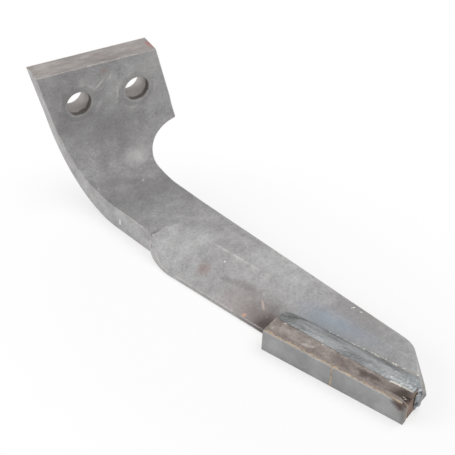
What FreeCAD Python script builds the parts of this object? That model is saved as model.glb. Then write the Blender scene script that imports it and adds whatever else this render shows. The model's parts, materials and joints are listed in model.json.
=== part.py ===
import FreeCAD, Part
import os
from math import radians, sin, cos, tan, acos, atan2, hypot, pi, sqrt

# Harrow tine with a hard tip
# Millimetres. The origin is the middle of the bolt row on the back face of the flange.
# X runs along the bolt row, +Y leaves the back face, +Z is up. The blade lies flat below.

# The flat bar that the tine is forged from
bar_width = 80.0
bar_thickness = 16.0
side_lean = radians(15.0)
row_to_top = 26.5

# The two bolt holes
hole_diameter = 17.0
hole_spacing = 41.0
hole_break = 0.6

# The bend between the flange and the blade
bend_start = 13.0
bend_inner_radius = 42.0
neutral_share = 0.45

# The notch that narrows the bar to the neck
notch_radius = 28.0
notch_centre_out = 2.9
notch_centre_run = 59.2
notch_corner_radius = 1.2
notch_side_lean = radians(9.0)
neck_width = 46.5
neck_past_bend = 22.0

# The forged bevel along the leading edge of the blade
step_run = 34.0
bulge_out = 4.0
edge_start_run = 58.5
edge_spread = 7.0
edge_sweep = radians(20.0)
edge_land = 3.0
bevel_width = 29.0
shoulder_slope = radians(38.0)
valley_radius = 16.0

# The end of the blade
trailing_corner_to_end = 22.4
trailing_corner_radius = 40.0
end_side_turn = radians(2.3)
end_corner_radius = 6.0
end_bevel_turn = radians(30.4)
end_bevel_run = 4.4
end_bevel_inset = 6.5
end_bevel_radius = 12.0

# The hard tip: two carbide tiles brazed on a steel bar
tip_sweep = radians(24.5)
edge_length = 84.0
seat_depth = 3.35
tip_length = 95.0
tip_depth = 14.0
tile_thickness = 3.0
braze_gap = 0.4
tile_joint = 1.0
tile_drop = 1.4
braze_lip = 2.4
chip_run = 5.0
chip_drop = 3.5
chip_depth = 6.5

# The weld along the back of the tip bar
weld_lap_start = 1.0
weld_lap_end = 4.0
weld_reach = 12.5
weld_crown = 1.4
weld_start_gap = 1.0
weld_end_gap = 1.0
weld_start_round = 10.0
weld_root_height = 4.0
end_run_radius = 4.2
end_run_back = 0.5
end_run_out = 2.5
end_run_top_gap = 1.5
end_run_height = 10.0

# Sizes that follow from the ones above
outer_radius = bend_inner_radius + bar_thickness
neutral_radius = bend_inner_radius + neutral_share * bar_thickness
bend_end = bend_start + neutral_radius * pi / 2
bend_axis_y = -outer_radius
bend_axis_z = -bend_start
blade_top = bend_axis_z - bend_inner_radius
blade_back = bend_axis_z - outer_radius
half_row = bar_width / 2 / cos(side_lean)
trailing_offset = -half_row + neck_width / cos(side_lean)
neck_blend_run = bend_end + neck_past_bend
notch_top = notch_centre_run - notch_radius
notch_centre_x = half_row + notch_top * tan(side_lean) + notch_centre_out
bevel_slope = (bar_thickness - edge_land) / bevel_width
over = 5.0


def vec(x, y, z=0.0):
    return FreeCAD.Vector(x, y, z)


# Outline along the developed bar: s is the run below the bolt row

def left_x(s):
    return -half_row + s * tan(side_lean)


def right_x(s):
    return half_row + s * tan(side_lean)


def notch_side_x(s):
    return right_x(bend_start) + (s - bend_start) * tan(notch_side_lean)


def trailing_x(s):
    return trailing_offset + s * tan(side_lean)


def blade_y(s):
    return bend_axis_y - (s - bend_end)


# Angle on the notch arc where the line down to the neck leaves it
blend_x = trailing_x(neck_blend_run)
to_blend = atan2(neck_blend_run - notch_centre_run, blend_x - notch_centre_x)
reach = hypot(neck_blend_run - notch_centre_run, blend_x - notch_centre_x)
leave_angle = to_blend + acos(notch_radius / reach)
leave_run = notch_centre_run + notch_radius * sin(leave_angle)
leave_x = notch_centre_x + notch_radius * cos(leave_angle)


def neck_x(s):
    share = (s - leave_run) / (neck_blend_run - leave_run)
    return leave_x + share * (blend_x - leave_x)


# The flange, with its two holes

def prism(points, direction):
    wire = Part.makePolygon(points + [points[0]])
    return Part.Face(wire).extrude(direction)


flange = prism(
    [
        vec(left_x(-row_to_top), 0, row_to_top),
        vec(right_x(-row_to_top), 0, row_to_top),
        vec(right_x(bend_start), 0, -bend_start),
        vec(left_x(bend_start), 0, -bend_start),
    ],
    vec(0, -bar_thickness, 0),
)


# The bend, a quarter ring cut to the outline by walls that stay square to its faces

def bend_section(s, x_left, x_right):
    turn = (s - bend_start) / neutral_radius
    corners = []
    for radius, x in (
        (bend_inner_radius - over, x_left),
        (bend_inner_radius - over, x_right),
        (outer_radius + over, x_right),
        (outer_radius + over, x_left),
    ):
        y = bend_axis_y + radius * cos(turn)
        z = bend_axis_z - radius * sin(turn)
        corners.append(vec(x, y, z))
    return Part.makePolygon(corners + [corners[0]])


def steps(first, last, count):
    return [first + (last - first) * k / count for k in range(count + 1)]


strip = [bend_section(s, left_x(s), notch_side_x(s)) for s in steps(bend_start, bend_end, 6)]
arc_angles = steps(3 * pi / 2, leave_angle, 9)
notch_arc = []
for angle in arc_angles:
    s = notch_centre_run + notch_radius * sin(angle)
    notch_arc.append(bend_section(s, notch_centre_x + notch_radius * cos(angle), 2 * bar_width))
notch_line = [bend_section(s, neck_x(s), 2 * bar_width) for s in steps(leave_run, bend_end, 3)]

ring = Part.makeCylinder(outer_radius, 4 * bar_width, vec(-2 * bar_width, 0, 0), vec(1, 0, 0))
ring = ring.cut(Part.makeCylinder(bend_inner_radius, 4 * bar_width, vec(-2 * bar_width, 0, 0), vec(1, 0, 0)))
ring.translate(vec(0, bend_axis_y, bend_axis_z))
bend = ring.common(Part.makeLoft(strip, True, False))
bend = bend.cut([Part.makeLoft(notch_arc, True, False), Part.makeLoft(notch_line, True, False)])


# The leading edge on the plane of the blade's back

def on_back(x, s):
    return vec(x, blade_y(s), blade_back)


step_s = bend_end + step_run
edge_s = bend_end + edge_start_run
edge_start = on_back(left_x(edge_s) - edge_spread, edge_s)
edge_direction = vec(sin(edge_sweep), -cos(edge_sweep))
bulge_s = (step_s + edge_s) / 2 - edge_spread / 2
bulge = on_back(left_x(bulge_s) - bulge_out, bulge_s)
seat_point = edge_start + edge_direction * edge_length


# The tip lies in a turned frame: run along the tip, back from its front face, height z

tip_along = vec(sin(tip_sweep), -cos(tip_sweep))
tip_inward = vec(cos(tip_sweep), sin(tip_sweep))
tip_corner = vec(seat_point.x, seat_point.y) - tip_inward * (tip_depth - seat_depth)


def tip_point(run, back, z=0.0):
    return tip_corner + tip_along * run + tip_inward * back + vec(0, 0, z)


def tip_box(run_0, run_1, back_0, back_1, z_0, z_1):
    corners = [(run_0, back_0), (run_1, back_0), (run_1, back_1), (run_0, back_1)]
    return prism([tip_point(run, back, z_0) for run, back in corners], vec(0, 0, z_1 - z_0))


def corner_arc(before, corner, after, radius):
    """Arc of the given radius in the corner between two straight runs."""
    u = (before - corner).normalize()
    v = (after - corner).normalize()
    half = acos(u.dot(v)) / 2
    middle = (u + v).normalize()
    centre = corner + middle * (radius / sin(half))
    leg = radius / tan(half)
    return corner + u * leg, centre - middle * radius, corner + v * leg


# The trailing side ends a little before the end line, which is flush with the tip's end
neck_point = on_back(blend_x, neck_blend_run)
trailing_direction = vec(sin(side_lean), -cos(side_lean))
side_direction = vec(-sin(end_side_turn), -cos(end_side_turn))


def run_to_end(point, direction, left_over):
    """Point on a line that is left_over short of the plane of the tip's end."""
    run = (point - tip_corner).dot(tip_along)
    return point + direction * ((tip_length - left_over - run) / direction.dot(tip_along))


trailing_corner = run_to_end(neck_point, trailing_direction, trailing_corner_to_end)
far_corner = run_to_end(trailing_corner, side_direction, 0.0)
end_inner = tip_point(tip_length, tip_depth / 2, blade_back)
end_arc = corner_arc(end_inner, far_corner, trailing_corner, end_corner_radius)
trailing_arc = corner_arc(far_corner, trailing_corner, neck_point, trailing_corner_radius)

outline = [
    Part.makeLine(on_back(left_x(bend_end), bend_end), on_back(left_x(step_s), step_s)),
    Part.Arc(on_back(left_x(step_s), step_s), bulge, edge_start).toShape(),
    Part.makeLine(edge_start, seat_point),
    Part.makeLine(seat_point, end_inner),
    Part.makeLine(end_inner, end_arc[0]),
    Part.Arc(*end_arc).toShape(),
    Part.makeLine(end_arc[2], trailing_arc[0]),
    Part.Arc(*trailing_arc).toShape(),
    Part.makeLine(trailing_arc[2], neck_point),
    Part.makeLine(neck_point, on_back(neck_x(bend_end), bend_end)),
    Part.makeLine(on_back(neck_x(bend_end), bend_end), on_back(left_x(bend_end), bend_end)),
]
blade = Part.Face(Part.Wire(outline)).extrude(vec(0, 0, bar_thickness))

body = flange.multiFuse([bend, blade]).removeSplitter()


def near(edge, x, y, z, reach):
    """True for an edge whose middle lies within reach of a point."""
    middle = edge.valueAt((edge.FirstParameter + edge.LastParameter) / 2)
    return middle.distanceToPoint(vec(x, y, z)) < reach


# The corner above the notch, where its arc meets the bar's side, is rounded off
side_slope = tan(notch_side_lean)
side_gap = notch_side_x(notch_centre_run) - notch_centre_x
corner_root = sqrt((1 + side_slope ** 2) * notch_radius ** 2 - side_gap ** 2)
corner_run = notch_centre_run - (side_slope * side_gap + corner_root) / (1 + side_slope ** 2)
corner_turn = (corner_run - bend_start) / neutral_radius
corner_x = notch_side_x(corner_run)
corner_y = bend_axis_y + neutral_radius * cos(corner_turn)
corner_z = bend_axis_z - neutral_radius * sin(corner_turn)
corner_edges = [edge for edge in body.Edges if near(edge, corner_x, corner_y, corner_z, 3.0)]
body = body.makeFillet(notch_corner_radius, corner_edges)


# The forged bevel: a sloped plane from the ridge to the edge, ended by the shoulder

outward = vec(-cos(edge_sweep), -sin(edge_sweep))
ridge_start = edge_start - outward * bevel_width
far = 3 * bevel_width


def bevel_corner(across, up):
    base = ridge_start + outward * across - edge_direction * far
    return vec(base.x, base.y, blade_top + up)


bevel_wedge = prism(
    [
        bevel_corner(-bevel_width, bevel_slope * bevel_width),
        bevel_corner(2 * bevel_width, -2 * bevel_slope * bevel_width),
        bevel_corner(2 * bevel_width, bar_width),
        bevel_corner(-bevel_width, bar_width),
    ],
    edge_direction * 5 * far,
)
shoulder_y = blade_y(step_s)


def shoulder_corner(run, up):
    return vec(-2 * bar_width, shoulder_y - run, blade_top + up)


shoulder_rise = tan(shoulder_slope)
shoulder_wedge = prism(
    [
        shoulder_corner(-bar_thickness, bar_thickness * shoulder_rise),
        shoulder_corner(2 * bar_width, -2 * bar_width * shoulder_rise),
        shoulder_corner(5 * bar_width, -2 * bar_width * shoulder_rise),
        shoulder_corner(5 * bar_width, bar_width),
        shoulder_corner(-bar_thickness, bar_width),
    ],
    vec(4 * bar_width, 0, 0),
)
pocket = bevel_wedge.common(shoulder_wedge)


def in_valley(edge):
    """True for the edge where the bevel and the shoulder planes meet."""
    for vertex in edge.Vertexes:
        p = vertex.Point
        across = (p - ridge_start).dot(outward)
        if abs(p.z - blade_top + across * bevel_slope) > 0.01:
            return False
        if abs(p.z - blade_top - (p.y - shoulder_y) * shoulder_rise) > 0.01:
            return False
    return True


pocket = pocket.makeFillet(valley_radius, [edge for edge in pocket.Edges if in_valley(edge)])
body = body.cut(pocket)

# The sloped corner at the end of the blade
end_bevel_out = vec(cos(end_bevel_turn), -sin(end_bevel_turn))
end_bevel_along = vec(-sin(end_bevel_turn), -cos(end_bevel_turn))
end_bevel_top = trailing_corner + side_direction * end_bevel_run
per_mm = end_bevel_inset / bar_thickness


def end_bevel_corner(outwards, z):
    base = end_bevel_top + end_bevel_out * outwards - end_bevel_along * bar_width
    return vec(base.x, base.y, z)


end_cutter = prism(
    [
        end_bevel_corner(-over * per_mm, blade_top + over),
        end_bevel_corner(end_bevel_inset + over * per_mm, blade_back - over),
        end_bevel_corner(bar_width, blade_back - over),
        end_bevel_corner(bar_width, blade_top + over),
    ],
    end_bevel_along * 2 * bar_width,
)
body = body.cut(end_cutter)

# Its upright edge beside the trailing side is worn round
worn_run = end_bevel_inset / 2 / side_direction.dot(end_bevel_out)
worn = end_bevel_top + side_direction * worn_run
worn_z = (blade_top + blade_back) / 2
worn_edges = [edge for edge in body.Edges if near(edge, worn.x, worn.y, worn_z, 2.0)]
body = body.makeFillet(end_bevel_radius, worn_edges)

# The seat for the tip bar
seat = tip_box(0, tip_length + over, -bar_width, tip_depth, blade_back - over, blade_top + over)
body = body.cut(seat)

# The bolt holes, with their front edges broken
hole_radius = hole_diameter / 2
for x in (-hole_spacing / 2, hole_spacing / 2):
    front = vec(x, -bar_thickness, 0)
    hole = Part.makeCylinder(hole_radius, bar_thickness, front, vec(0, 1, 0))
    cone = Part.makeCone(hole_radius + hole_break, hole_radius, hole_break, front, vec(0, 1, 0))
    body = body.cut(hole).cut(cone)

# The corner that has broken off the end of the tip
chip = prism(
    [
        tip_point(tip_length - chip_run, -over, blade_top),
        tip_point(tip_length, -over, blade_top - chip_drop),
        tip_point(tip_length + over, -over, blade_top - chip_drop),
        tip_point(tip_length + over, -over, blade_top + over),
        tip_point(tip_length - chip_run, -over, blade_top + over),
    ],
    tip_inward * (chip_depth + over),
)

# The two carbide tiles
tile_top = blade_top - tile_drop
joint_start = (tip_length - tile_joint) / 2
joint_end = joint_start + tile_joint
tile_inner = tip_box(0, joint_start, 0, tile_thickness, blade_back, tile_top)
tile_outer = tip_box(joint_end, tip_length, 0, tile_thickness, blade_back, tile_top)
tile_outer = tile_outer.cut(chip)

# The steel bar behind them
bar_front = tile_thickness + braze_gap
tip_bar = tip_box(0, tip_length, bar_front, tip_depth, blade_back, blade_top)
tip_bar = tip_bar.cut(chip)

# The braze fills the gap, the joint between the tiles and the corner on top of them
braze = tip_box(0, tip_length, tile_thickness, bar_front, blade_back, tile_top)
braze = braze.fuse(tip_box(joint_start, joint_end, 0, tile_thickness, blade_back, tile_top))
lip = prism(
    [
        tip_point(0, bar_front, tile_top),
        tip_point(0, bar_front, blade_top),
        tip_point(0, bar_front - braze_lip, tile_top),
    ],
    tip_along * tip_length,
)
braze = braze.fuse(lip).removeSplitter().cut(chip)

# The weld: a crowned bead over the bar and the bevel, with a run down the end
toe_drop = bevel_slope * weld_reach / 2
root = blade_back + weld_root_height


def bead_section(run, lap):
    front = tip_depth - lap
    back = tip_depth + weld_reach
    toe = tip_point(run, back, blade_top - toe_drop - weld_crown)
    crown = tip_point(run, (front + back) / 2, blade_top - toe_drop / 2 + weld_crown)
    edge = tip_point(run, front, blade_top)
    return Part.Wire([
        Part.Arc(edge, crown, toe).toShape(),
        Part.makeLine(toe, tip_point(run, back, root)),
        Part.makeLine(tip_point(run, back, root), tip_point(run, front, root)),
        Part.makeLine(tip_point(run, front, root), edge),
    ])


bead_end = tip_length - weld_end_gap
bead = Part.makeLoft(
    [bead_section(weld_start_gap, weld_lap_start), bead_section(bead_end, weld_lap_end)], True, True
)
round_middle = weld_start_gap + weld_start_round
start_round = Part.makeCylinder(
    weld_start_round,
    2 * bar_thickness,
    tip_point(round_middle, tip_depth + weld_reach - weld_start_round, blade_back),
)
bead_back = tip_depth + weld_reach
bead_limit = blade_top + bar_thickness
past_round = tip_box(round_middle, bead_end, 0, bead_back, blade_back, bead_limit)
beside_round = tip_box(
    weld_start_gap, round_middle, 0, bead_back - weld_start_round, blade_back, bead_limit
)
bead = bead.common(start_round.multiFuse([past_round, beside_round]))
end_run = Part.makeCylinder(
    end_run_radius,
    end_run_height,
    tip_point(
        tip_length - end_run_radius + end_run_out,
        tip_depth + end_run_back,
        blade_top - end_run_top_gap - end_run_height,
    ),
)
bead = bead.fuse(end_run).cut(end_cutter).cut(body).cut(tip_bar)

os.makedirs("parts", exist_ok=True)
for name, shape in (
    ("tine_body", body),
    ("tip_bar", tip_bar),
    ("carbide_tile_inner", tile_inner),
    ("carbide_tile_outer", tile_outer),
    ("braze_seam", braze),
    ("tip_weld", bead),
):
    solids = shape.Solids
    print(name, "solids", len(solids), "valid", shape.isValid(), "cm3", round(shape.Volume / 1000, 2))
    shape.exportStep("parts/" + name + ".step")
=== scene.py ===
# %% [markdown]
# # A harrow tine, dressed for its portrait
#
# The part is a forged steel tine: an upright flange with two bolt holes, a wide bend, and a blade
# that lies on the ground. A steel bar faced with two carbide tiles is welded along its edge.
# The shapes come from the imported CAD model. This file gives them their finishes, roughens what the
# fire and the welder left rough, and sets up the floor, the lamps and the camera.

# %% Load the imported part
import json
import math

import bpy
from mathutils import Matrix, Vector
from mathutils.bvhtree import BVHTree

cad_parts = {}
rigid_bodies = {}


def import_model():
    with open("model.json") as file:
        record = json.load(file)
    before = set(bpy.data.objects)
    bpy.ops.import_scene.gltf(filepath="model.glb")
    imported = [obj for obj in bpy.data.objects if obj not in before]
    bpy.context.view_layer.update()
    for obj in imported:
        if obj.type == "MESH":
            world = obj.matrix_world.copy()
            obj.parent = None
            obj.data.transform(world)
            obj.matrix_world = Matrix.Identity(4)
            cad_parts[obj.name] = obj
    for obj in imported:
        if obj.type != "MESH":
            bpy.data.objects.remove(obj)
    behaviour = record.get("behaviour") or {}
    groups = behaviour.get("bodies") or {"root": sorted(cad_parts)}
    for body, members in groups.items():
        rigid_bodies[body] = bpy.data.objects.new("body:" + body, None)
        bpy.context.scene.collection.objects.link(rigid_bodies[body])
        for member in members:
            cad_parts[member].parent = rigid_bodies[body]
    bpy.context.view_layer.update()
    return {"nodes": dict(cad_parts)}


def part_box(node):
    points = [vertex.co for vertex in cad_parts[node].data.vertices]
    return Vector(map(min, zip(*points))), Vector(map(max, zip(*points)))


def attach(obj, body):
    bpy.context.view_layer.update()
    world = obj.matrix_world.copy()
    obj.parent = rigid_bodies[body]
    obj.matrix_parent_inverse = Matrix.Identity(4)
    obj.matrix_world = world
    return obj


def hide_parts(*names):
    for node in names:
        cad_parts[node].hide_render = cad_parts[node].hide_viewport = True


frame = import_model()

mm = 0.001
tine = frame["nodes"]["tine_body"]
bar = frame["nodes"]["tip_bar"]
print("pieces from the CAD model:", ", ".join(sorted(frame["nodes"])))

# %% [markdown]
# ## The camera
#
# The picture is taken from the front left and from above, with a longish lens, so the flange stands
# nearly square to the view and the blade runs away to the lower right. A camera can be placed by
# dragging it, but then nobody can say where it stands. Here it is given the way a photographer would
# say it: where it stands, what it looks at, how far it leans, and the focal length.

# %% Camera
camera_stands = Vector((-270.0, -613.5, 432.4)) * mm
camera_looks_at = Vector((43.03, -101.62, -62.94)) * mm
camera_lean = math.radians(2.96)
focal_length = 94.95

camera_data = bpy.data.cameras.new("camera")
camera_data.lens = focal_length
camera_data.sensor_width = 36.0
camera_data.sensor_fit = "HORIZONTAL"
camera_data.clip_start = 0.01
camera = bpy.data.objects.new("camera", camera_data)
bpy.context.scene.collection.objects.link(camera)
aim = (camera_looks_at - camera_stands).to_track_quat("-Z", "Y").to_matrix().to_4x4()
camera.matrix_world = Matrix.Translation(camera_stands) @ aim @ Matrix.Rotation(camera_lean, 4, "Z")
bpy.context.scene.camera = camera
print("camera is", round((camera_looks_at - camera_stands).length, 3), "m from what it looks at")

# %% [markdown]
# ## Colours and nodes
#
# Colours are written as the hex values that a paint chart gives. The shaders count light, so one
# function turns a hex value into linear light. Another adds a node with its settings and its links,
# because a material is easier to read as a list of nodes than as pages of socket calls.

# %% Helpers for colours and nodes
def hex_colour(text):
    """An sRGB hex value as linear red, green, blue and alpha."""
    shares = [int(text[i:i + 2], 16) / 255 for i in (1, 3, 5)]
    linear = [s / 12.92 if s <= 0.04045 else ((s + 0.055) / 1.055) ** 2.4 for s in shares]
    return (*linear, 1.0)


def add(tree, kind, settings=None, links=None):
    """One node: settings are its switches and input values, links feed its inputs."""
    node = tree.nodes.new(kind)
    for name, value in (settings or {}).items():
        if isinstance(name, str) and hasattr(node, name):
            setattr(node, name, value)
        else:
            node.inputs[name].default_value = value
    for name, source in (links or {}).items():
        tree.links.new(source, node.inputs[name])
    return node


def new_material(name):
    """An empty material, its tree, the place on the piece, and a ragged copy of that place."""
    material = bpy.data.materials.new(name)
    material.use_nodes = True
    tree = material.node_tree
    tree.nodes.clear()
    place = add(tree, "ShaderNodeTexCoord").outputs["Object"]
    wander = add(tree, "ShaderNodeTexNoise", {"Scale": grain(4), "Detail": 3.0}, {"Vector": place})
    shift = add(tree, "ShaderNodeVectorMath", {"operation": "SUBTRACT", 1: (0.5, 0.5, 0.5)},
                {0: wander.outputs["Color"]})
    stretch = add(tree, "ShaderNodeVectorMath", {"operation": "SCALE", "Scale": 4 * mm},
                  {0: shift.outputs[0]})
    ragged = add(tree, "ShaderNodeVectorMath", {"operation": "ADD"}, {0: place, 1: stretch.outputs[0]})
    return material, tree, place, ragged.outputs[0]


def grain(size):
    """The noise scale whose blotches are about this many millimetres across."""
    return 1000 / size


print("a mid grey in linear light:", round(hex_colour("#808080")[0], 3))

# %% [markdown]
# ## Marks
#
# Most of what makes an old forging believable is small: a smear of red paint, soot, a nick. Each
# could be painted by hand on an image, but an image needs an unwrapped mesh. Here a mark is a soft
# ellipsoid at a place on the part, given in the part's own millimetres, with a ragged edge. It is
# laid over the colour that is already there.

# %% A mark at a place
def mark(tree, place, under, colour, centre, half_size, turn=(0, 0, 0), strength=1.0, soft=0.5):
    """Lays a colour over another in a soft ellipsoid, and gives back the colour and the mask."""
    inside = add(tree, "ShaderNodeMapping",
                 {"vector_type": "TEXTURE", "Location": [c * mm for c in centre],
                  "Rotation": [math.radians(a) for a in turn], "Scale": [s * mm for s in half_size]},
                 {"Vector": place})
    away = add(tree, "ShaderNodeVectorMath", {"operation": "LENGTH"}, {0: inside.outputs[0]})
    mask = add(tree, "ShaderNodeMapRange",
               {"interpolation_type": "SMOOTHSTEP", "From Min": 1 + soft, "From Max": 1 - soft,
                "To Max": strength}, {"Value": away.outputs["Value"]})
    laid = add(tree, "ShaderNodeMix", {"data_type": "RGBA", 7: hex_colour(colour)},
               {0: mask.outputs[0], 6: under})
    return laid.outputs[2], mask.outputs[0]


def distance_along(tree, place, start, direction):
    """How far a place is from a start point in one direction, in metres."""
    offset = add(tree, "ShaderNodeVectorMath", {"operation": "SUBTRACT", 1: [c * mm for c in start]},
                 {0: place})
    along = add(tree, "ShaderNodeVectorMath", {"operation": "DOT_PRODUCT", 1: direction},
                {0: offset.outputs[0]})
    return along.outputs["Value"]


def worn_edges(tree, place, radius, spot):
    """A mask of the sharp edges, broken up by noise, and the rounded normal there."""
    rounded = add(tree, "ShaderNodeBevel", {"samples": 6, "Radius": radius * mm})
    flat = add(tree, "ShaderNodeNewGeometry")
    likeness = add(tree, "ShaderNodeVectorMath", {"operation": "DOT_PRODUCT"},
                   {0: rounded.outputs[0], 1: flat.outputs["Normal"]})
    edge = add(tree, "ShaderNodeMapRange", {"From Min": 0.995, "From Max": 0.86},
               {"Value": likeness.outputs["Value"]})
    patches = add(tree, "ShaderNodeTexNoise", {"Scale": grain(spot), "Detail": 4.0}, {"Vector": place})
    some = add(tree, "ShaderNodeMapRange", {"From Min": 0.34, "From Max": 0.56}, {"Value": patches.outputs[0]})
    worn = add(tree, "ShaderNodeMath", {"operation": "MULTIPLY"}, {0: edge.outputs[0], 1: some.outputs[0]})
    return worn.outputs[0], rounded.outputs[0]


print("helpers for marks are ready")

# %% [markdown]
# ## Forge scale
#
# The body is hot forged steel that was left black: a thin skin of iron oxide, mid grey, matt, with
# faint mottling where the scale came off. The eye sees a dull metal, so it is half metallic and
# rough. The grey comes from three sizes of noise: hand-sized clouds, fingertip blotches and a grain
# of about a millimetre, the finest that still shows in the picture.

# %% Directions on the tip
tip_corner = (10.5, -199.8, -71.0)
tip_along = (0.4147, -0.9100, 0.0)
tip_inward = (0.9100, 0.4147, 0.0)

# %% Forged body: base colour
scale_material, tree, place, ragged = new_material("forge scale on steel")
clouds = add(tree, "ShaderNodeTexNoise", {"Scale": grain(45), "Detail": 3.0}, {"Vector": place})
blotches = add(tree, "ShaderNodeTexNoise", {"Scale": grain(9), "Detail": 5.0, "Roughness": 0.6},
               {"Vector": place})
specks = add(tree, "ShaderNodeTexNoise", {"Scale": grain(1.6), "Detail": 4.0, "Roughness": 0.7},
             {"Vector": place})
cloud_colour = add(tree, "ShaderNodeValToRGB", None, {"Fac": clouds.outputs[0]})
cloud_colour.color_ramp.elements[0].position = 0.35
cloud_colour.color_ramp.elements[0].color = hex_colour("#969495")
cloud_colour.color_ramp.elements[1].position = 0.68
cloud_colour.color_ramp.elements[1].color = hex_colour("#a9a8a8")
blotch_light = add(tree, "ShaderNodeMapRange", {"From Min": 0.3, "From Max": 0.7, "To Min": 0.85, "To Max": 1.14},
                   {"Value": blotches.outputs[0]})
speck_light = add(tree, "ShaderNodeMapRange", {"From Min": 0.3, "From Max": 0.7, "To Min": 0.82, "To Max": 1.2},
                  {"Value": specks.outputs[0]})
light = add(tree, "ShaderNodeMath", {"operation": "MULTIPLY"}, {0: blotch_light.outputs[0], 1: speck_light.outputs[0]})
axes = add(tree, "ShaderNodeSeparateXYZ", None, {0: place})
# The bend and the neck are made darker by a ramp along the part: partly darker scale, partly painted shade where the
# flange shades the bend.
from_blade = add(tree, "ShaderNodeMapRange", {"From Min": -112 * mm, "From Max": -16 * mm}, {"Value": axes.outputs["Y"]})
bend_scale_and_painted_shade = add(tree, "ShaderNodeValToRGB", None, {"Fac": from_blade.outputs[0]})
for position, shade in ((0.0, 1.0), (0.3, 0.83), (0.55, 0.68), (0.8, 0.6)):
    bend_scale_and_painted_shade.color_ramp.elements.new(position).color = (shade, shade, shade, 1)
bend_scale_and_painted_shade.color_ramp.elements.remove(bend_scale_and_painted_shade.color_ramp.elements[0])
bend_scale_and_painted_shade.color_ramp.elements[len(bend_scale_and_painted_shade.color_ramp.elements) - 1].color = (1.03, 1.03, 1.03, 1)
# Faces that turn to the left side get a painted highlight: they are made lighter for the light that falls on them.
facing = add(tree, "ShaderNodeSeparateXYZ", None, {0: add(tree, "ShaderNodeTexCoord").outputs["Normal"]})
left_face_painted_highlight = add(tree, "ShaderNodeMapRange", {"From Min": -0.6, "From Max": -0.9}, {"Value": facing.outputs["X"]})
shade = add(tree, "ShaderNodeMix", {"data_type": "FLOAT", 3: 1.12}, {0: left_face_painted_highlight.outputs[0], 2: bend_scale_and_painted_shade.outputs[0]})
light = add(tree, "ShaderNodeMath", {"operation": "MULTIPLY"}, {0: light.outputs[0], 1: shade.outputs[0]})
base = add(tree, "ShaderNodeMix", {"data_type": "RGBA", "blend_type": "MULTIPLY", 0: 1.0},
           {6: cloud_colour.outputs[0], 7: light.outputs[0]})
colour = base.outputs[2]
print("forge scale has", len(tree.nodes), "nodes so far")

# %% [markdown]
# The bolts have left their marks: a washer has scuffed a ring round each hole. The bore wall is
# painted lighter, a painted light for the light that falls into the hole, and a painted shadow darkens
# the bore's lower right mouth. A ring is the distance to the hole's axis, kept to a narrow band and to
# the front face.

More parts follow.
